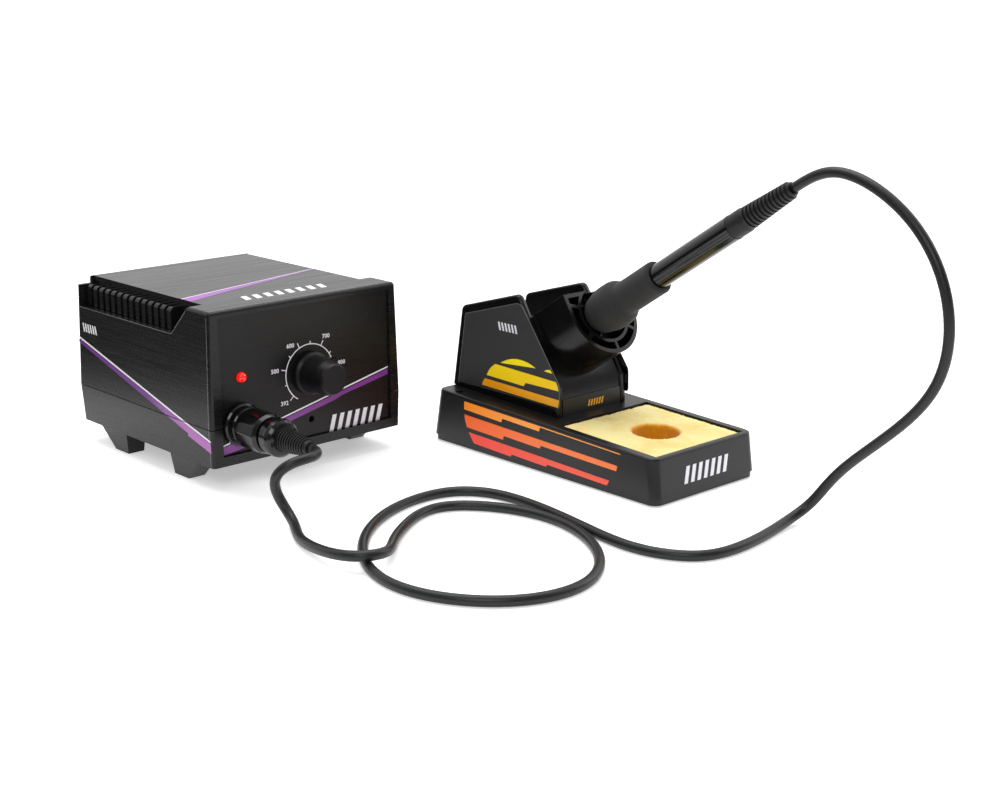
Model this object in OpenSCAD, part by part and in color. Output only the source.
// Temperature-controlled soldering station: a control unit, an iron on a cord, and an iron stand with a sponge.
// All sizes are in millimetres. The bench is z = 0, and the front of the station faces -Y.

/* [Station case] */
// Width of the case where its two halves meet
station_w = 120; // [104:1:150]
// Depth of the case, front to back
station_d = 130; // [112:1:165]
// Height of the case, feet included
station_h = 91; // [84:1:112]
// Height of the moulded feet
foot_h = 12; // [6:0.5:16]
// Height of the lower half over the feet
tray_h = 20; // [18:0.5:24]
// Wall of the case
case_wall = 2.5; // [2:0.1:3]
// Radius of the case's outer corners
case_r = 2; // [1:0.1:3]
// Number of upright fins in each side trough
fin_count = 14; // [6:1:15]
// Thickness of one fin
fin_t = 3.6; // [2:0.1:4.4]
// Distance between the middles of two fins
fin_pitch = 6.1; // [5:0.1:6.1]
// How far the top plate's edge lies in from the case's side
plate_inset = 9; // [6:0.5:12]
// Height of the side wall beside the fins, under the top
notch_drop = 15.5; // [10:0.5:22]

/* [Front panel] */
// How far the panel lies behind the case's front edge
panel_set = 2; // [1:0.1:3]
// Thickness of the panel's plate
panel_t = 2; // [1.5:0.1:3]
// Width of the frame beside the panel
frame_side = 6.5; // [5:0.1:9]
// Diameter of the knob's skirt
knob_skirt_d = 22.5; // [19:0.5:27]
// Diameter of the knob's grip at its root
knob_grip_d = 20; // [17:0.5:25]
// Height of the knob over the panel
knob_h = 21.4; // [18:0.2:26]
// Diameter of the control shaft
shaft_d = 6; // [4:0.1:6.4]
// Diameter of the indicator lamp
lamp_d = 5; // [3:0.5:8]
// Diameter of the calibration hole
trim_hole_d = 3.4; // [2.4:0.1:5]
// Diameter of the socket's flange
socket_d = 22; // [20:0.5:25]
// Diameter of the plug's threaded barrel
barrel_thread_d = 15; // [12:0.5:16]
// Length of the plug and its strain relief, out from the panel
plug_len = 59; // [54:1:66]

/* [Stand] */
// Width of the stand's base
stand_w = 77; // [66:1:92]
// Length of the stand's base
stand_l = 165; // [150:1:198]
// Height of the base at the sponge end
stand_front_h = 24; // [21:0.5:29]
// Height of the base at the holder end
stand_rear_h = 30; // [26:0.5:36]
// Wall of the base
stand_wall = 2.4; // [1.8:0.1:3]
// Clear distance between the station and the stand
stand_gap = 21.5; // [12:0.5:60]
// Width of the holder over both cheeks
holder_w = 52; // [49:0.5:60]
// Thickness of one cheek
cheek_t = 4.3; // [3:0.1:5]
// Height of the holder's mouth over the bench
mouth_h = 80; // [76:0.5:90]
// Angle of the iron over the bench
holder_tilt = 33; // [30:0.5:36]
// Half the funnel's outer width
funnel_r = 22.4; // [21:0.1:24]
// How far the funnel stands out of the cheeks
funnel_reach = 27; // [20:0.5:30]
// Diameter of the bore behind the funnel
holder_bore_d = 21; // [20.6:0.1:22]
// Diameter of the hole for a spare tip
tip_hole_d = 4.2; // [3:0.1:7]

/* [Sponge] */
// Width of the sponge
sponge_w = 65; // [54:0.5:66]
// Length of the sponge
sponge_l = 65; // [54:0.5:66]
// Thickness of the sponge at its thin end
sponge_t = 12; // [8:0.5:14]
// Diameter of the sponge's hole
sponge_hole_d = 24; // [14:0.5:36]

/* [Iron] */
// Diameter of the grip's bulge
bulge_d = 24; // [21:0.5:28]
// Diameter of the grip
grip_d = 17.5; // [15.5:0.5:20]
// Length of the grip, out from the holder's mouth
grip_len = 44.5; // [38:0.5:53]
// Diameter of the handle's tube
tube_d = 12.8; // [11:0.2:14.8]
// Wall of the handle's tube
tube_wall = 1.6; // [1:0.1:2]
// Length of the glossy tube that shows behind the grip
tube_len = 55.5; // [46:0.5:66]
// Length of the iron's ribbed strain relief
relief_len = 29.5; // [24:0.5:34]
// Diameter of the tip's shank
tip_d = 6.4; // [5:0.1:7]
// Length of the iron inside the holder
tip_reach = 58; // [50:0.5:60]

/* [Cord] */
// Diameter of the cord
cord_d = 5; // [3.5:0.1:5.4]

/* [Hidden] */

round_fn = 64;
hull_fn = 32;
// gap between pieces of one body that are dropped into each other
fit = 0.2;
// radial gap between pieces that turn in each other
run = 0.05;
// gap between bodies that must never touch
clear = 0.3;
e = 0.01;

// places of the two units
total_w = station_w + stand_gap + stand_w;
station_x = -total_w / 2 + station_w / 2;
station_y = 105;
stand_x = total_w / 2 - stand_w / 2;
stand_y = -43.5;

// case
hw = station_w / 2;
hd = station_d / 2;
split_z = foot_h + tray_h;
side_draft = 1.5;
front_draft = 0.8;
back_draft = 1.5;
low_draft = 0.5;
low_back_draft = 2;
lip_z = 2;
floor_z = foot_h + case_wall;
roof_z = station_h - case_wall;
in_x = hw - side_draft - case_wall;
back_in = hd - back_draft - case_wall;
notch_z = station_h - notch_drop;
notch_run = 15;
notch_front_y = -hd + 20;
trough_floor = notch_z - 13.5;
trough_in = hw - side_draft - plate_inset;
trough_out = in_x - 0.4;
fin_top = station_h - 4;
fin_end_y = back_in - 2 - fin_t / 2;
boss_x = hw - 11.5;
boss_y = hd - 15;
boss_r = 4;
screw_r = 1.5;
boss_z = split_z + 2;

// front panel
panel_y = -hd + panel_set;
film_t = 0.3;
win_x = hw - frame_side;
win_z0 = foot_h + 5;
win_z1 = roof_z - 1;
plate_front = panel_y + film_t;
knob_x = 1.7;
knob_z = station_h - 40;
lamp_x = -hw + 19.6;
lamp_z = knob_z + 4.8;
trim_x = 2;
trim_z = foot_h + 14;
socket_x = -hw + 18;
socket_z = foot_h + tray_h;
bush_r = shaft_d / 2 + 0.6;

// back of the case
rwin_x = 44;
rwin_z0 = foot_h + 7;
rwin_z1 = foot_h + 58;
rplate_t = 2;
rplate_back = back_in - 0.1;
inlet_x = 24;
inlet_z = foot_h + 24;
inlet_w = 24;
inlet_h = 16.6;
fuse_x = -8;
fuse_z = foot_h + 22;
fuse_r = 6;
rocker_x = -28;
rocker_z = foot_h + 26;
rocker_w = 12.4;
rocker_l = 18;

// stand
sw = stand_w / 2;
sl = stand_l / 2;
plate_z0 = 0.8;
plate_z1 = 3.8;
base_r = 5;
base_rise = atan((stand_rear_h - stand_front_h) / stand_l);
well_x = sponge_w / 2 + 0.5;
well_y0 = -sl + 5.3;
well_y1 = well_y0 + sponge_l + 1;
sponge_drop = 0.4;
mouth_y = -9.6;
slant_top = 26;
slant_low = -27.5;
core_x = holder_w / 2 - cheek_t;
core_set = 1;
cheek_rear_y = sl - 2.4;
cheek_rear_h = 76;
cheek_lean = 8;
cheek_r = 4;
cheek_edge = 1.2;
funnel_top = 13.5;
funnel_wall = 2.2;
ring_in = 14.6;
ring_t = 1.7;
pocket_depth = 17;
spoke_t = 1.8;
bore_r = holder_bore_d / 2;
liner_t = 0.8;
hole_x = sw - 5.1;
hole_y = sl - 17.4;
post_x = sw - 10.5;
post_y = sl - 10.5;

// iron, along its own axis from the mouth of the holder
nose_s = -5;
nut_s = -13;
sleeve_s = -38;
tube_s = nose_s + 3;
tube_end = grip_len + tube_len;
collar_end = tube_end + 10;
relief_end = collar_end + relief_len;

// height of the base's top at y
function top_z(y) = stand_front_h + (stand_rear_h - stand_front_h) * (y + sl) / stand_l;
// point in the holder's side view, s along the iron's axis and n across it
function side_point(s, n) = [
    mouth_y - s * cos(holder_tilt) + n * sin(holder_tilt),
    mouth_h + s * sin(holder_tilt) + n * cos(holder_tilt)
];
function slant(n) = side_point(-funnel_reach, n);

module at_station() {
    translate([station_x, station_y, 0]) children();
}

module at_stand() {
    translate([stand_x, stand_y, 0]) children();
}

// +Z points out of the front panel
module at_panel(x, z) {
    translate([station_x + x, station_y + panel_y, z]) rotate([90, 0, 0]) children();
}

// +Z points out of the back of the case
module at_back(x, z) {
    translate([station_x + x, station_y + rplate_back, z]) rotate([-90, 0, 0]) children();
}

// +Z points along the iron from the holder's mouth
module on_axis() {
    translate([stand_x, stand_y + mouth_y, mouth_h]) rotate([90 - holder_tilt, 0, 0]) children();
}

// side view (y, z) made solid from x0 to x1
module prism_x(x0, x1) {
    translate([x0, 0, 0]) rotate([90, 0, 90]) linear_extrude(x1 - x0) children();
}

// front view (x, z) made solid from y0 to y1
module prism_y(y0, y1) {
    translate([0, y1, 0]) rotate([90, 0, 0]) linear_extrude(y1 - y0) children();
}

module both_sides() {
    children();
    mirror([1, 0, 0]) children();
}

module block(x0, x1, y0, y1, z0, z1) {
    translate([x0, y0, z0]) cube([x1 - x0, y1 - y0, z1 - z0]);
}

module tube(r, bore, z0, z1) {
    difference() {
        translate([0, 0, z0]) cylinder(r = r, h = z1 - z0, $fn = round_fn);
        translate([0, 0, z0 - 1]) cylinder(r = bore, h = z1 - z0 + 2, $fn = round_fn);
    }
}

module rod(r, z0, z1) {
    translate([0, 0, z0]) cylinder(r = r, h = z1 - z0, $fn = round_fn);
}

// body of revolution from a list of [radius, height]
module turned(pts) {
    rotate_extrude($fn = round_fn) polygon(pts);
}

// four corner discs of a case, inset by the drafts
module corner_discs(z, side, front, back) {
    for (sx = [-1, 1]) {
        translate([sx * (hw - side - case_r), -hd + front + case_r, z]) cylinder(r = case_r, h = e, $fn = hull_fn);
        translate([sx * (hw - side - case_r), hd - back - case_r, z]) cylinder(r = case_r, h = e, $fn = hull_fn);
    }
}

module corner_balls(z, side, front, back) {
    for (sx = [-1, 1]) {
        translate([sx * (hw - side - case_r), -hd + front + case_r, z]) sphere(r = case_r, $fn = hull_fn);
        translate([sx * (hw - side - case_r), hd - back - case_r, z]) sphere(r = case_r, $fn = hull_fn);
    }
}

// ---------------------------------------------------------------- station case

module fin_profile() {
    reach = trough_out - 0.8 - trough_in;
    rise = fin_top - trough_floor;
    round_r = 2.4;
    translate([trough_in - 1, trough_floor - 1]) square([reach + 1 - round_r, rise + 1]);
    translate([trough_in - 1, trough_floor - 1]) square([reach + 1, rise + 1 - round_r]);
    translate([trough_in + reach - round_r, fin_top - round_r]) circle(r = round_r, $fn = round_fn);
}

module trough_cut() {
    // open side over the side wall, with its sloping front end
    prism_x(trough_in, hw + 2) polygon([
        [notch_front_y - 1, station_h + 1],
        [notch_front_y, station_h],
        [notch_front_y + notch_run, notch_z],
        [back_in, notch_z],
        [back_in, station_h + 1]
    ]);
    // trough behind the side wall, under the top plate's lip
    prism_x(trough_in - 1, trough_out) polygon([
        [notch_front_y + 1.5, station_h - lip_z - 0.5],
        [notch_front_y + notch_run - 0.5, notch_z],
        [notch_front_y + notch_run + 2, trough_floor],
        [back_in, trough_floor],
        [back_in, station_h - lip_z - 0.5]
    ]);
    block(trough_in + 1, hw + 2, back_in - 1, hd + 1, fin_top, station_h + 1);
}

module cover_cavity() {
    neck = trough_in - 1 - case_wall;
    // front part, full width
    block(-in_x, in_x, plate_front, notch_front_y - 2, split_z - 1, roof_z);
    // rear part, narrow over the troughs
    block(-in_x, in_x, notch_front_y - 3, back_in, split_z - 1, trough_floor - case_wall);
    block(-neck, neck, notch_front_y - 3, back_in, split_z - 1, roof_z);
    // rebate for the tray's tongue
    block(-hw + 1.3, hw - 1.3, -hd + 4, hd - 1.3, split_z - 1, split_z + 2.1);
}

module cover_bosses() {
    for (sx = [-1, 1]) {
        translate([sx * boss_x, boss_y, boss_z]) cylinder(r = boss_r, h = trough_floor - boss_z, $fn = round_fn);
        translate([sx * boss_x, -boss_y, boss_z]) cylinder(r = boss_r, h = roof_z + 0.5 - boss_z, $fn = round_fn);
    }
}

module screw_pilots() {
    for (sx = [-1, 1], sy = [-1, 1]) {
        translate([sx * boss_x, sy * boss_y, boss_z - 1]) cylinder(r = screw_r, h = 13, $fn = round_fn);
    }
}

module top_cover() {
    color("#141416") at_station() difference() {
        union() {
            difference() {
                hull() {
                    corner_discs(split_z, 0, 0, 0);
                    corner_balls(station_h - case_r, side_draft, front_draft, back_draft);
                }
                cover_cavity();
                both_sides() trough_cut();
                block(-win_x, win_x, -hd - 1, plate_front + 1, split_z - 1, win_z1);
                block(-rwin_x, rwin_x, back_in - 1, hd + 1, split_z - 1, rwin_z1);
            }
            cover_bosses();
            both_sides() panel_ribs(split_z, roof_z + 0.5);
            both_sides() rear_ribs(split_z + 2.2, rwin_z1 + 2);
            both_sides() for (i = [0 : fin_count - 1]) {
                prism_y(fin_end_y - i * fin_pitch - fin_t / 2, fin_end_y - i * fin_pitch + fin_t / 2) fin_profile();
            }
        }
        screw_pilots();
    }
}

// ribs that hold the front panel against the frame
module panel_ribs(z0, z1) {
    block(win_x + 0.5, in_x + 0.5, plate_front + panel_t + fit, plate_front + panel_t + fit + 2, z0, z1);
}

// ribs that hold the rear panel against the back wall
module rear_ribs(z0, z1) {
    block(rwin_x - 1, rwin_x + 4, rplate_back - rplate_t - fit - 2, rplate_back - rplate_t - fit, z0, z1);
    block(rwin_x + 2.4, rwin_x + 4, rplate_back - rplate_t - fit - 2, back_in + 0.5, z0, z1);
}

module tray_foot(front) {
    y0 = -hd + 16.3;
    y1 = -hd + 43.5;
    mirror([0, front ? 0 : 1, 0]) intersection() {
        prism_x(hw - 16, hw) polygon([[y0, foot_h + 1], [y0 + 12.7, 0], [y1 - 1.5, 0], [y1, foot_h + 1]]);
        prism_y(-hd, hd) polygon([
            [hw - 14, foot_h + 1],
            [hw - 13, 0],
            [hw - low_draft - 3, 0],
            [hw - low_draft - 1.3, foot_h + 1]
        ]);
    }
}

module tray_bosses() {
    for (sx = [-1, 1], sy = [-1, 1]) {
        translate([sx * boss_x, sy * boss_y, floor_z - 1]) {
            cylinder(r = boss_r, h = boss_z - floor_z + 1, $fn = round_fn);
        }
    }
    // posts under the circuit board
    for (x = [-38, 26], y = [-50, -21]) {
        translate([x, y, floor_z - 1]) cylinder(r = 3, h = 6, $fn = round_fn);
    }
}

module bottom_shell() {
    color("#1b1b1e") at_station() difference() {
        union() {
            difference() {
                union() {
                    hull() {
                        corner_discs(foot_h, low_draft, low_draft, low_back_draft);
                        corner_discs(split_z - 0.4 - e, 0, 0, 0);
                    }
                    // tongue that enters the cover
                    block(-hw + 1.5, hw - 1.5, -hd + 5, hd - 1.5, split_z - 3, split_z + 2);
                }
                block(-hw + case_wall + 0.5, hw - case_wall - 0.5, plate_front, back_in, floor_z, split_z + 3);
                block(-win_x, win_x, -hd - 1, plate_front + 1, win_z0, split_z + 3);
                block(-rwin_x, rwin_x, back_in - 1, hd + 1, rwin_z0, split_z + 3);
                // the tongue stops at the panel's ribs
                block(-hw, hw, -hd - 1, plate_front + panel_t + fit + 2.2, split_z, split_z + 3);
            }
            tray_bosses();
            both_sides() panel_ribs(floor_z - 1, split_z - 0.2);
            both_sides() rear_ribs(floor_z - 1, split_z - 0.2);
            both_sides() {
                tray_foot(true);
                tray_foot(false);
            }
        }
        for (sx = [-1, 1], sy = [-1, 1]) {
            translate([sx * boss_x, sy * boss_y, foot_h - 1]) {
                cylinder(r = screw_r + 0.3, h = boss_z, $fn = round_fn);
                cylinder(r = 3.3, h = 4, $fn = round_fn);
            }
        }
    }
}

module case_screws() {
    color("#9a9a9c") at_station() for (sx = [-1, 1], sy = [-1, 1]) {
        translate([sx * boss_x, sy * boss_y, foot_h + 0.6]) difference() {
            union() {
                cylinder(r = 3, h = 2.4, $fn = round_fn);
                cylinder(r = screw_r, h = boss_z - foot_h + 9, $fn = round_fn);
            }
            translate([-2.2, -0.35, -1]) cube([4.4, 0.7, 2.2]);
            translate([-0.35, -2.2, -1]) cube([0.7, 4.4, 2.2]);
        }
    }
}

// ---------------------------------------------------------------- front panel

module panel_holes(deep) {
    translate([knob_x, knob_z - socket_z, 0]) rod(bush_r + 0.2, -deep, deep);
    translate([lamp_x, lamp_z - socket_z, 0]) rod(lamp_d / 2 + 0.1, -deep, deep);
    translate([trim_x, trim_z - socket_z, 0]) rod(trim_hole_d / 2, -deep, deep);
    translate([socket_x, 0, 0]) rod(barrel_thread_d / 2 - 0.1, -deep, deep);
}

module front_panel() {
    color("#2a2a2d") difference() {
        at_station() block(
            -win_x - 2, win_x + 2, plate_front, plate_front + panel_t, floor_z + fit, roof_z - fit
        );
        at_panel(0, socket_z) panel_holes(10);
    }
}

module panel_overlay() {
    color("#1c1c1f") difference() {
        at_station() block(-win_x + fit, win_x - fit, panel_y, plate_front, win_z0 + fit, win_z1 - fit);
        at_panel(0, socket_z) panel_holes(10);
    }
}

module knob_tip() {
    // pointer that runs out over the skirt
    linear_extrude(4.6) polygon([[0, -knob_grip_d / 2 + 1], [knob_skirt_d / 2 + 3, 0], [0, knob_grip_d / 2 - 1]]);
}

module temperature_knob() {
    grip = knob_grip_d / 2;
    skirt = knob_skirt_d / 2;
    color("#121213") at_panel(knob_x, knob_z) difference() {
        union() {
            turned([
                [0, 0.8], [skirt, 0.8], [skirt, 3.4], [skirt - 0.6, 4],
                [grip, 4.6], [grip - 0.8, knob_h - 5.5], [grip - 1.8, knob_h - 1.2], [grip - 2.6, knob_h],
                [0, knob_h]
            ]);
            rotate(29) translate([0, 0, 4.2]) knob_tip();
        }
        rod(8, 0, 6);
        rod(shaft_d / 2 + 0.02, 0, 16.2);
    }
}

module pot_shaft() {
    color("#b9b6ad") at_panel(knob_x, knob_z) rod(shaft_d / 2, -1.8, 16);
}

module pot_body() {
    color("#8c8a84") at_panel(knob_x, knob_z) difference() {
        union() {
            rod(bush_r, -film_t - panel_t - 1, 4.8);
            rod(8, -film_t - panel_t - 10, -film_t - panel_t);
        }
        rod(shaft_d / 2 + run, -2, 6);
    }
}

module pot_nut() {
    color("#b0aea8") at_panel(knob_x, knob_z) difference() {
        cylinder(r = 5.6, h = 2, $fn = 6);
        rod(bush_r, -1, 3);
    }
}

module indicator_lens() {
    r = lamp_d / 2;
    color("#e01010") at_panel(lamp_x, lamp_z) {
        rod(r, -film_t - panel_t - 4, 0.4);
        translate([0, 0, 0.4]) intersection() {
            sphere(r = r, $fn = round_fn);
            translate([-r - 1, -r - 1, 0]) cube([2 * r + 2, 2 * r + 2, r + 1]);
        }
    }
}

module indicator_holder() {
    color("#101010") at_panel(lamp_x, lamp_z) {
        tube(lamp_d / 2 + 2, lamp_d / 2, -film_t - panel_t - 5, -film_t - panel_t);
    }
}

module trimmer_body() {
    color("#2a5ea8") at_panel(trim_x, trim_z) difference() {
        translate([-4.8, -4.8, -film_t - panel_t - 12]) cube([9.6, 9.6, 6]);
        rod(2 + run, -film_t - panel_t - 9, 0);
    }
}

module trimmer_rotor() {
    color("#e4e2d8") at_panel(trim_x, trim_z) difference() {
        rod(2, -film_t - panel_t - 8.8, -film_t - panel_t - 5.4);
        translate([-1.6, -0.3, -film_t - panel_t - 6.2]) cube([3.2, 0.6, 2]);
    }
}

// ---------------------------------------------------------------- cord socket and plug

thread_r = barrel_thread_d / 2;

module socket() {
    flange = socket_d / 2;
    color("#151516") at_panel(socket_x, socket_z) difference() {
        union() {
            turned([
                [0, 0], [flange - 0.4, 0], [flange, 0.6], [flange, 3.4], [flange - 0.8, 4.2],
                [flange - 1.4, 4.2], [flange - 1.4, 7.4], [flange - 2, 8], [0, 8]
            ]);
            rod(thread_r, 7, 15.5);
            rod(thread_r - 0.3, -8, 1);
        }
        rod(thread_r - 1.2, 3, 16);
    }
}

module socket_nut() {
    color("#8f8d88") at_panel(socket_x, socket_z) difference() {
        translate([0, 0, -film_t - panel_t - 3]) cylinder(r = thread_r + 3.4, h = 3, $fn = 6);
        rod(thread_r - 0.3, -film_t - panel_t - 4, 0);
    }
}

module coupling_nut() {
    color("#161618") at_panel(socket_x, socket_z) difference() {
        intersection() {
            translate([0, 0, 9]) cylinder(r = thread_r + 2.9, h = 17.5, $fn = 12);
            turned([
                [0, 9], [thread_r + 1.6, 9], [thread_r + 2.8, 10.4], [thread_r + 2.8, 24],
                [thread_r + 1.4, 26.5], [0, 26.5]
            ]);
        }
        rod(thread_r + run, 8, 27);
    }
}

module plug_shell() {
    color("#1a1a1c") at_panel(socket_x, socket_z) difference() {
        turned([
            [0, 16], [thread_r, 16], [thread_r, 26.8], [thread_r + 0.6, 27.2], [thread_r + 1.2, 28.2],
            [thread_r + 1.2, 30.6], [0, 30.6]
        ]);
        rod(thread_r - 1.5, 18, 29);
    }
}

module plug_pins() {
    color("#c9a23a") at_panel(socket_x, socket_z) for (a = [0 : 60 : 240]) {
        rotate(a) translate([thread_r - 4, 0, 0]) rod(0.8, 4, 16);
    }
}

module plug_ring() {
    color("#0c0c0d") at_panel(socket_x, socket_z) turned([
        [0, 30.6], [thread_r + 1, 30.6], [thread_r + 2, 31.8], [thread_r + 2.2, 34],
        [thread_r + 1.8, 36.2], [thread_r + 0.6, 37.4], [thread_r - 1, 37.8], [0, 37.8]
    ]);
}

module plug_relief() {
    ribs = 11;
    z0 = 37.8;
    z1 = plug_len;
    step = (z1 - 2 - z0) / ribs;
    color("#1b1b1d") at_panel(socket_x, socket_z) {
        turned([[0, z0], [5.7, z0], [3.7, z1 - 2], [3.5, z1], [0, z1]]);
        for (i = [0 : ribs - 1]) {
            r = 6.3 - 2.1 * i / ribs;
            translate([0, 0, z0 + i * step]) cylinder(r = r, h = step * 0.55, $fn = round_fn);
        }
    }
}

// ---------------------------------------------------------------- inside the case

tr_x = 14;
tr_y = 9;
core_w = 60;
core_t = 30;
core_h = 48;
leg_w = 20;
tr_z = floor_z + 1.4;

module transformer_core() {
    color("#7d7f83") at_station() translate([tr_x, tr_y, tr_z]) difference() {
        block(-core_w / 2, core_w / 2, -core_t / 2, core_t / 2, 0, core_h);
        both_sides() block(leg_w / 2, core_w / 2 - leg_w / 2, -core_t, core_t, leg_w / 2, core_h - leg_w / 2);
    }
}

module transformer_coil() {
    w = core_w / 2 - leg_w / 2 - fit;
    color("#c8862e") at_station() translate([tr_x, tr_y, tr_z]) difference() {
        block(-w, w, -core_t / 2 - 9, core_t / 2 + 9, leg_w / 2 + fit, core_h - leg_w / 2 - fit);
        block(-leg_w / 2 - fit, leg_w / 2 + fit, -core_t / 2 - fit, core_t / 2 + fit, 0, core_h);
    }
}

module transformer_strap() {
    color("#b4b6b8") at_station() translate([tr_x, tr_y, floor_z]) difference() {
        union() {
            block(-core_w / 2 - 9, core_w / 2 + 9, -8, 8, 0, 1.2);
            block(-core_w / 2 - 1.4, -core_w / 2 - fit, -8, 8, 0, core_h + 2.8);
            block(core_w / 2 + fit, core_w / 2 + 1.4, -8, 8, 0, core_h + 2.8);
            block(-core_w / 2 - 1.4, core_w / 2 + 1.4, -8, 8, core_h + 1.6, core_h + 2.8);
        }
        for (sx = [-1, 1]) {
            translate([sx * (core_w / 2 + 5.2), 0, -1]) cylinder(r = 1.8, h = 4, $fn = round_fn);
        }
    }
}

module control_board() {
    color("#1f5a34") at_station() block(-42, 30, -54, -17, floor_z + 5, floor_z + 6.6);
}

module board_parts() {
    z = floor_z + 6.6;
    at_station() {
        color("#23304f") translate([-30, -25, z]) cylinder(r = 6.5, h = 22, $fn = round_fn);
        color("#23304f") translate([-14, -23, z]) cylinder(r = 4, h = 12, $fn = round_fn);
        color("#2b2b2b") block(10, 25, -30, -25.5, z, z + 18);
        color("#a9abad") block(8, 27, -25.5, -23.5, z, z + 24);
        color("#202020") block(-24, -16, -42, -36, z, z + 3.4);
    }
}

// ---------------------------------------------------------------- back of the case

module rear_panel() {
    color("#26262a") difference() {
        at_station() block(
            -rwin_x - 2, rwin_x + 2, rplate_back - rplate_t, rplate_back, rwin_z0 - 2, rwin_z1 + 2
        );
        at_back(inlet_x, inlet_z) translate([-inlet_w / 2 - 1.7, -inlet_h / 2 - 1.7, -5]) {
            cube([inlet_w + 3.4, inlet_h + 3.4, 10]);
        }
        at_back(fuse_x, fuse_z) rod(fuse_r + 0.1, -5, 5);
        at_back(rocker_x, rocker_z) translate([-rocker_w / 2 - 1.2, -rocker_l / 2 - 1.2, -5]) {
            cube([rocker_w + 2.4, rocker_l + 2.4, 10]);
        }
        // cooling slots in the upper part
        for (i = [0 : 9]) {
            at_station() block(
                -32.5 + i * 7, -29.5 + i * 7, rplate_back - 5, rplate_back + 5, foot_h + 42, foot_h + 54
            );
        }
    }
}

// socket recess with two cut corners
module inlet_recess(grow) {
    w = inlet_w / 2 + grow;
    h = inlet_h / 2 + grow;
    polygon([[-w, -h], [w, -h], [w, h - 5], [w - 5, h], [-w + 5, h], [-w, h - 5]]);
}

module mains_inlet() {
    color("#141414") at_back(inlet_x, inlet_z) difference() {
        union() {
            translate([-inlet_w / 2 - 3, -inlet_h / 2 - 3, 0]) cube([inlet_w + 6, inlet_h + 6, 2]);
            translate([0, 0, -18]) linear_extrude(19) inlet_recess(1.5);
        }
        translate([0, 0, -16]) linear_extrude(20) inlet_recess(0);
    }
}

module inlet_pins() {
    color("#c4c4c6") at_back(inlet_x, inlet_z) {
        for (x = [-6.4, 6.4]) {
            translate([x - 1, -4.2, -16]) cube([2, 4, 13.5]);
        }
        translate([-1, 0.6, -16]) cube([2, 4, 13.5]);
    }
}

module fuse_holder() {
    color("#161616") at_back(fuse_x, fuse_z) difference() {
        union() {
            rod(fuse_r + 2, 0, 2.2);
            rod(fuse_r, -26, 1);
        }
        rod(fuse_r - 1.6 + run, -24, 3);
    }
}

module fuse_cap() {
    color("#101010") at_back(fuse_x, fuse_z) difference() {
        union() {
            rod(fuse_r + 0.6, 2.5, 5);
            rod(fuse_r - 1.6, -22, 3);
        }
        translate([-fuse_r, -0.6, 4]) cube([2 * fuse_r, 1.2, 2]);
    }
}

module rocker_frame() {
    w = rocker_w / 2;
    l = rocker_l / 2;
    color("#131313") at_back(rocker_x, rocker_z) difference() {
        union() {
            translate([-w - 2.6, -l - 2.6, 0]) cube([2 * w + 5.2, 2 * l + 5.2, 1.8]);
            translate([-w - 1.1, -l - 1.1, -16]) cube([2 * w + 2.2, 2 * l + 2.2, 17]);
        }
        translate([-w, -l, -14]) cube([2 * w, 2 * l, 20]);
        translate([-w - 1.2, 0, -4]) rotate([0, 90, 0]) cylinder(r = 1 + run, h = 2 * w + 2.4, $fn = round_fn);
    }
}

module rocker() {
    w = rocker_w / 2 - clear;
    l = rocker_l / 2 - 0.9;
    color("#0f0f10") at_back(rocker_x, rocker_z) {
        translate([0, 0, -4]) rotate([-8, 0, 0]) {
            translate([-w, 0, 0]) rotate([90, 0, 90]) linear_extrude(2 * w) polygon([
                [-l + 1.2, -2], [l - 1.2, -2], [l, 6.4], [0, 5.2], [-l, 6.4]
            ]);
            translate([-w - 1.2, 0, 0]) rotate([0, 90, 0]) cylinder(r = 1, h = 2 * w + 2.4, $fn = round_fn);
        }
    }
}

// ---------------------------------------------------------------- stand

module base_discs(z, r, tilt, dy0, dy1, dx) {
    for (sx = [-1, 1]) {
        translate([sx * (sw - base_r - dx), -sl + base_r + dy0, tilt ? top_z(-sl + base_r + dy0) - z : z]) {
            rotate([tilt ? base_rise : 0, 0, 0]) cylinder(r = r, h = e, $fn = hull_fn);
        }
        translate([sx * (sw - base_r - dx), sl - base_r - dy1, tilt ? top_z(sl - base_r - dy1) - z : z]) {
            rotate([tilt ? base_rise : 0, 0, 0]) cylinder(r = r, h = e, $fn = hull_fn);
        }
    }
}

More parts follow.
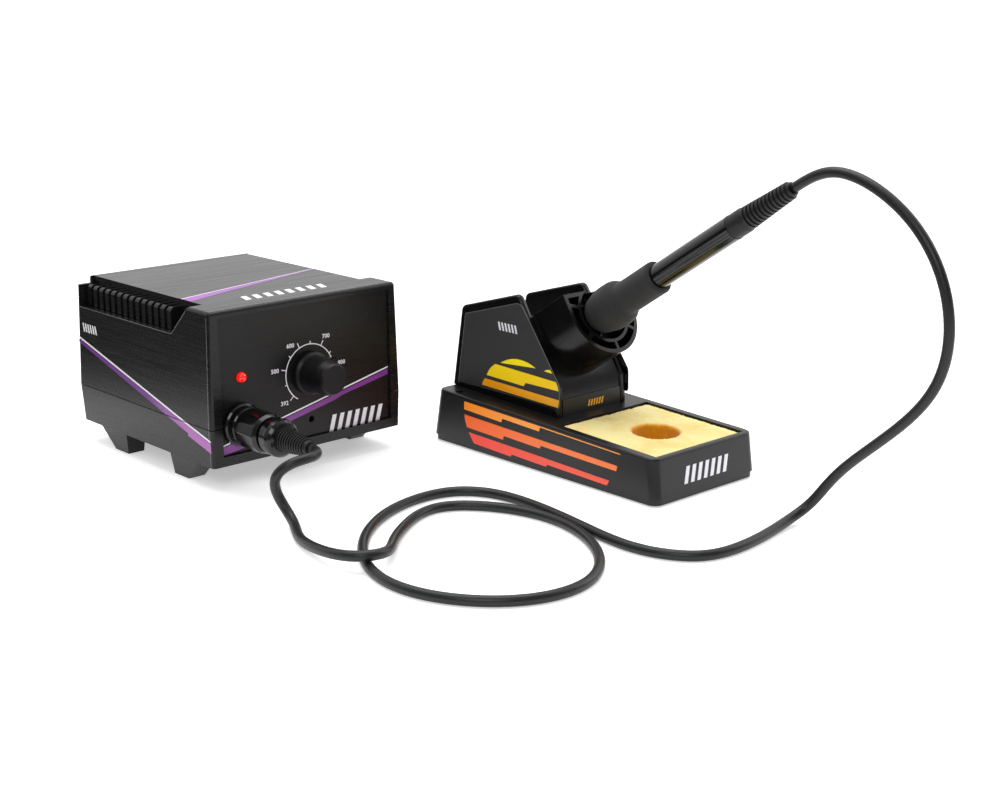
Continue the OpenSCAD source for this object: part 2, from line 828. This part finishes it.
module stand_base() {
    top_in = stand_front_h - stand_wall;
    color("#161618") at_stand() difference() {
        hull() {
            base_discs(plate_z1, base_r, false, 0, 0, 0);
            base_discs(1.2, base_r, true, 2.3, 4, 0.5);
            base_discs(0.4, base_r - 0.35, true, 2.3, 4, 0.5);
            base_discs(e, base_r - 1.1, true, 2.3, 4, 0.5);
        }
        // hollow under the top, round the well
        difference() {
            prism_x(-sw + stand_wall + 0.5, sw - stand_wall - 0.5) polygon([
                [-sl + stand_wall + 2.5, plate_z1 - 1],
                [sl - stand_wall - 4, plate_z1 - 1],
                [sl - stand_wall - 4, top_z(sl) - stand_wall - 0.3],
                [-sl + stand_wall + 2.5, top_z(-sl) - stand_wall]
            ]);
            block(
                -well_x - stand_wall, well_x + stand_wall, well_y0 - stand_wall, well_y1 + stand_wall,
                top_z(well_y0) - sponge_t - sponge_drop - stand_wall, stand_rear_h + 5
            );
            for (sx = [-1, 1], sy = [-1, 1]) {
                translate([sx * post_x, sy * post_y, plate_z1 - 2]) {
                    cylinder(r = 3.4, h = stand_rear_h, $fn = round_fn);
                }
            }
        }
        // sponge well
        block(-well_x, well_x, well_y0, well_y1, top_z(well_y0) - sponge_t - sponge_drop, stand_rear_h + 5);
        // holes for spare tips
        for (sx = [-1, 1]) {
            translate([sx * hole_x, hole_y, plate_z1]) cylinder(r = tip_hole_d / 2, h = 40, $fn = round_fn);
        }
        for (sx = [-1, 1], sy = [-1, 1]) {
            translate([sx * post_x, sy * post_y, 0]) cylinder(r = 1.1, h = 9.2, $fn = round_fn);
        }
    }
}

module stand_plate() {
    color("#1e1e20") at_stand() difference() {
        hull() {
            for (sx = [-1, 1], sy = [-1, 1]) {
                translate([sx * (sw - base_r - 0.6), sy * (sl - base_r - 0.6), plate_z0]) {
                    cylinder(r = base_r, h = plate_z1 - plate_z0, $fn = hull_fn);
                }
            }
        }
        for (sx = [-1, 1], sy = [-1, 1]) {
            translate([sx * post_x, sy * post_y, 0]) {
                cylinder(r = 1.5, h = 10, $fn = round_fn);
                cylinder(r = 3, h = 2.4, $fn = round_fn);
            }
            translate([sx * (sw - 9), sy * (sl - 32), 0]) cylinder(r = 5.2, h = 2, $fn = round_fn);
        }
    }
}

module stand_feet() {
    color("#202020") at_stand() for (sx = [-1, 1], sy = [-1, 1]) {
        translate([sx * (sw - 9), sy * (sl - 32), 0]) cylinder(r = 5, h = 2, $fn = round_fn);
    }
}

module stand_screws() {
    color("#9a9a9c") at_stand() for (sx = [-1, 1], sy = [-1, 1]) {
        translate([sx * post_x, sy * post_y, 1]) {
            cylinder(r = 2.6, h = 1.4, $fn = round_fn);
            cylinder(r = 1.1, h = 7.9, $fn = round_fn);
        }
    }
}

// ---------------------------------------------------------------- iron holder

// everything under the base's top surface
module below_top(x) {
    prism_x(-x, x) polygon([[-sl - 9, -9], [sl + 9, -9], [sl + 9, top_z(sl + 9)], [-sl - 9, top_z(-sl - 9)]]);
}

module cheek_corner(p, x0, r) {
    translate([x0, p[0], p[1]]) rotate([0, 90, 0]) {
        translate([0, 0, cheek_edge]) cylinder(r = r, h = cheek_t - 2 * cheek_edge, $fn = hull_fn);
        translate([0, 0, cheek_edge * 0.35]) {
            cylinder(r = r - cheek_edge * 0.3, h = cheek_t - cheek_edge * 0.7, $fn = hull_fn);
        }
        cylinder(r = r - cheek_edge, h = cheek_t, $fn = hull_fn);
    }
}

module cheek(x0) {
    r = cheek_r;
    top = slant(slant_top);
    low = slant(slant_low);
    difference() {
        hull() {
            cheek_corner([cheek_rear_y - r, top_z(sl) - 6], x0, r);
            cheek_corner([cheek_rear_y - cheek_lean - r, cheek_rear_h - r], x0, r);
            cheek_corner([top[0] + r * 0.55, top[1] - r], x0, r);
            cheek_corner([low[0] + 2.4, low[1] - 0.6], x0, 2.4);
            cheek_corner([low[0] - 1 + 2.4, top_z(low[0]) - 6], x0, 2.4);
        }
        below_top(sw + 5);
    }
}

module left_cheek() {
    color("#1a1a1c") at_stand() cheek(-holder_w / 2);
}

module right_cheek() {
    color("#1a1a1c") at_stand() cheek(holder_w / 2 - cheek_t);
}

// side view of the block between the cheeks
module core_outline(grow) {
    low = slant(slant_low);
    neck = slant(funnel_top - grow);
    tail = side_point(-80, funnel_top - grow);
    polygon([
        [low[0] - 1 + core_set + grow, top_z(low[0]) - 8],
        [low[0] + core_set + grow, low[1] - grow * 0.5],
        [neck[0] + core_set + grow, neck[1] - grow * 0.3],
        [tail[0], tail[1]],
        [cheek_rear_y - 6 - grow, tail[1] - (cheek_rear_y - 6 - tail[0]) * 0.65 - grow * 0.5],
        [cheek_rear_y - 3 - grow, top_z(sl) - 8]
    ]);
}

// cross-section of the funnel: round below, flat on top
module funnel_outline(shrink) {
    r = funnel_r - shrink;
    intersection() {
        union() {
            circle(r = r, $fn = round_fn);
            translate([-r, 0]) square([2 * r, funnel_r]);
        }
        translate([-r, -r]) square([2 * r, r + funnel_top - shrink]);
    }
}

module holder_core() {
    color("#17171a") difference() {
        union() {
            at_stand() difference() {
                prism_x(-core_x, core_x) core_outline(0);
                below_top(sw + 5);
            }
            on_axis() translate([0, 0, -funnel_reach - 3]) {
                linear_extrude(funnel_reach + 3) intersection() {
                    funnel_outline(0);
                    translate([-core_x + 0.4, -40]) square([2 * core_x - 0.8, 80]);
                }
            }
            on_axis() translate([0, 0, -funnel_reach + 1]) linear_extrude(funnel_reach - 1) funnel_outline(0);
        }
        // hollow under the bore
        difference() {
            at_stand() prism_x(-core_x + 2.4, core_x - 2.4) core_outline(2.6);
            on_axis() rod(bore_r + 2.6, -90, 0);
            on_axis() translate([0, 0, -funnel_reach - 0.5]) {
                linear_extrude(funnel_reach + 1) square([80, 80], center = true);
            }
        }
        // pockets round the inner ring
        on_axis() translate([0, 0, -pocket_depth]) linear_extrude(pocket_depth + 1) difference() {
            funnel_outline(funnel_wall);
            circle(r = ring_in + ring_t, $fn = round_fn);
            for (a = [20, 90, 160, 215, 270, 325]) {
                rotate(a) translate([0, -spoke_t / 2]) square([40, spoke_t]);
            }
        }
        // seat and bore for the iron
        on_axis() turned([[0, 1], [ring_in, 1], [ring_in, -1.5], [bore_r + 1.6, -10], [bore_r + 1.6, -14], [0, -14]]);
        on_axis() rod(bore_r, -68, -10);
    }
}

module holder_liner() {
    color("#8f9194") on_axis() difference() {
        rod(bore_r, -67.9, -14);
        rod(bore_r - liner_t, -66, -13);
    }
}

module sponge() {
    x = sponge_w / 2;
    z0 = top_z(well_y0) - sponge_t - sponge_drop;
    y0 = well_y0 + 0.5;
    y1 = well_y0 + 0.5 + sponge_l;
    color("#f2d98a") at_stand() difference() {
        prism_x(-x, x) polygon([[y0, z0], [y1, z0], [y1, top_z(y1) - sponge_drop], [y0, top_z(y0) - sponge_drop]]);
        translate([0, y0 + sponge_l * 0.45, 0]) cylinder(r = sponge_hole_d / 2, h = 60, $fn = round_fn);
    }
}

// ---------------------------------------------------------------- iron

module tip() {
    r = tip_d / 2;
    color("#b9855a") on_axis() difference() {
        turned([
            [0, -tip_reach], [0.5, -tip_reach], [r - 0.1, -tip_reach + 17],
            [r, sleeve_s], [r, nut_s], [0, nut_s]
        ]);
        rod(r - 0.9, sleeve_s - 2, nut_s + 1);
    }
}

module tip_sleeve() {
    r = tip_d / 2;
    color("#b8babd") on_axis() difference() {
        turned([
            [0, sleeve_s - 2], [r + 0.5, sleeve_s - 2], [r + 1.3, sleeve_s + 2],
            [r + 1.3, nut_s], [r + 2.2, nut_s + 1], [r + 2.2, nut_s + 2], [0, nut_s + 2]
        ]);
        rod(r + 0.03, sleeve_s - 3, nut_s + 3);
    }
}

module sleeve_nut() {
    color("#a7a9ac") on_axis() difference() {
        union() {
            rod(7, nut_s, nose_s);
            for (i = [0 : 17]) {
                rotate(i * 20) translate([6.6, -0.5, nut_s + 1]) cube([0.8, 1, nose_s - nut_s - 2]);
            }
        }
        rod(tip_d / 2 + 1.4, nut_s - 1, nut_s + 1);
        rod(tip_d / 2 + 2.3, nut_s + 1, nose_s + 1);
    }
}

module heater() {
    r = tip_d / 2 - 1.1;
    color("#efece4") on_axis() {
        rod(r, sleeve_s - 1, nose_s + 6);
        rod(tip_d / 2 + 1.3, nose_s + 1, nose_s + 6);
    }
}

module grip() {
    b = bulge_d / 2;
    g = grip_d / 2;
    color("#1d1d1f") on_axis() difference() {
        turned([
            [0, nose_s], [b - 3.4, nose_s], [b - 2, nose_s + 2.2], [b - 0.4, 3.4], [b, 6], [b, 12],
            [b - 0.4, 14.4], [b - 1.6, 16.6], [g + 0.4, 18], [g, 19.4],
            [g, grip_len - 1], [g - 0.8, grip_len], [0, grip_len]
        ]);
        rod(tube_d / 2, nose_s - 1, grip_len + 1);
    }
}

module handle_tube() {
    r = tube_d / 2;
    color("#0b0b0c") on_axis() difference() {
        turned([
            [0, nose_s], [r, nose_s], [r, tube_end], [r - 0.2, tube_end], [0, tube_end]
        ]);
        rod(r - tube_wall, nose_s + 6.1, tube_end + 1);
        rod(tip_d / 2 + 1.3, nose_s - 1, nose_s + 7);
    }
}

module end_collar() {
    r = tube_d / 2 - 0.2;
    color("#18181a") on_axis() turned([
        [0, tube_end], [r, tube_end], [r, collar_end - 2], [r - 0.6, collar_end], [0, collar_end]
    ]);
}

module iron_relief() {
    ribs = 12;
    step = (relief_len - 1) / ribs;
    color("#1b1b1d") on_axis() {
        turned([
            [0, collar_end], [4.9, collar_end], [3.6, relief_end - 1], [3.4, relief_end], [0, relief_end]
        ]);
        for (i = [0 : ribs - 1]) {
            r = 5.8 - 1.5 * i / ribs;
            translate([0, 0, collar_end + i * step]) cylinder(r = r, h = step * 0.6, $fn = round_fn);
        }
    }
}

module handle_board() {
    color("#1f5a34") on_axis() block(-3.8, 3.8, -0.8, 0.8, 20, 78);
}

// ---------------------------------------------------------------- cord

// points on the iron's and the plug's axes, past their ends
function relief_tip(s) = let (p = side_point(relief_end + s, 0)) [stand_x, stand_y + p[0], p[1]];
function plug_tip(s) = [station_x + socket_x, station_y + panel_y - plug_len - s, socket_z];
// route from the iron's strain relief to the plug, on the bench between them
ROUTE = [
    relief_tip(0.15), relief_tip(26),
    [71, -225.5, 157], [70, -248, 135.5], [71, -257.5, 107], [72, -253, 77.5],
    [69, -234, 55], [75, -199.5, 28], [73, -189, 10], [64, -182.5, 2.5],
    [32, -190.5, 2.5], [0, -192, 2.5], [-14, -179.5, 2.5], [-22, -155.5, 2.5],
    [-13, -111.5, 2.5], [-9, -70, 2.5], [-17, -48.5, 2.5], [-34, -39, 2.5],
    [-64, -42.5, 2.5], [-95, -60.5, 2.5], [-119, -89, 2.5], [-129, -118, 2.5],
    [-123, -146.5, 2.5], [-104, -169.5, 2.5], [-79, -178.5, 2.5], [-54, -172.5, 2.5],
    [-31, -150, 2.5], [-17, -118, 2.5], [-19, -86.5, 2.5], [-36, -59.5, 2.5],
    [-57, -54, 2.5], [-94, -79, 2.5], [-109, -99.5, 7], [-125, -98, 8],
    [-130, -81, 6], [-124, -49, 2.5], [-112, -32.5, 2.5], [-111, -20, 9.5],
    [-118, -20.5, 23.5], [-112, -29, 32.5], [-98, -30.5, 32.5],
    plug_tip(5.5), plug_tip(0)
];
cord_sides = 10;
cord_steps = 2;

function spline_at(a, b, c, d, t) = (
    a * pow(1 - t, 3) + b * (3 * pow(t, 3) - 6 * t * t + 4) +
    c * (-3 * pow(t, 3) + 3 * t * t + 3 * t + 1) + d * pow(t, 3)
) / 6;
// the route with one more point past each end, so that the curve reaches both ends
function padded_route(p) = concat([2 * p[0] - p[1]], p, [2 * p[len(p) - 1] - p[len(p) - 2]]);
function route_curve(q) = concat(
    [for (i = [0 : len(q) - 4], k = [0 : cord_steps - 1])
        spline_at(q[i], q[i + 1], q[i + 2], q[i + 3], k / cord_steps)],
    [q[len(q) - 2]]
);
function unit(v) = v / norm(v);
function heading(c, i) = unit(c[min(i + 1, len(c) - 1)] - c[max(i - 1, 0)]);
// the side direction is carried from ring to ring, so the tube doesn't twist
function carried(side, t) = unit(side - (side * t) * t);
function sides_along(c, i, side) = i == len(c) ? [] : let (s = carried(side, heading(c, i)))
    concat([s], sides_along(c, i + 1, s));
function tube_rings(c, r) = let (s = sides_along(c, 0, [1, 0, 0]))
    [for (i = [0 : len(c) - 1]) let (t = heading(c, i), b = cross(t, s[i]))
        for (k = [0 : cord_sides - 1]) let (a = 360 * k / cord_sides) c[i] + r * (cos(a) * s[i] + sin(a) * b)];

module cord() {
    c = route_curve(padded_route(ROUTE));
    n = len(c);
    color("#161617") polyhedron(
        tube_rings(c, cord_d / 2),
        concat(
            [[for (k = [cord_sides - 1 : -1 : 0]) k]],
            [for (i = [0 : n - 2], k = [0 : cord_sides - 1]) let (j = (k + 1) % cord_sides)
                [i * cord_sides + k, i * cord_sides + j, (i + 1) * cord_sides + j, (i + 1) * cord_sides + k]],
            [[for (k = [0 : cord_sides - 1]) (n - 1) * cord_sides + k]]
        )
    );
}

top_cover();
bottom_shell();
front_panel();
panel_overlay();
temperature_knob();
pot_shaft();
pot_body();
pot_nut();
indicator_lens();
indicator_holder();
trimmer_body();
trimmer_rotor();
socket();
socket_nut();
coupling_nut();
plug_shell();
plug_pins();
plug_ring();
plug_relief();
transformer_core();
transformer_coil();
transformer_strap();
control_board();
board_parts();
rear_panel();
mains_inlet();
inlet_pins();
fuse_holder();
fuse_cap();
rocker_frame();
rocker();
case_screws();
stand_base();
stand_plate();
stand_feet();
stand_screws();
holder_core();
left_cheek();
right_cheek();
holder_liner();
sponge();
tip();
tip_sleeve();
sleeve_nut();
heater();
grip();
handle_tube();
end_collar();
iron_relief();
handle_board();
cord();
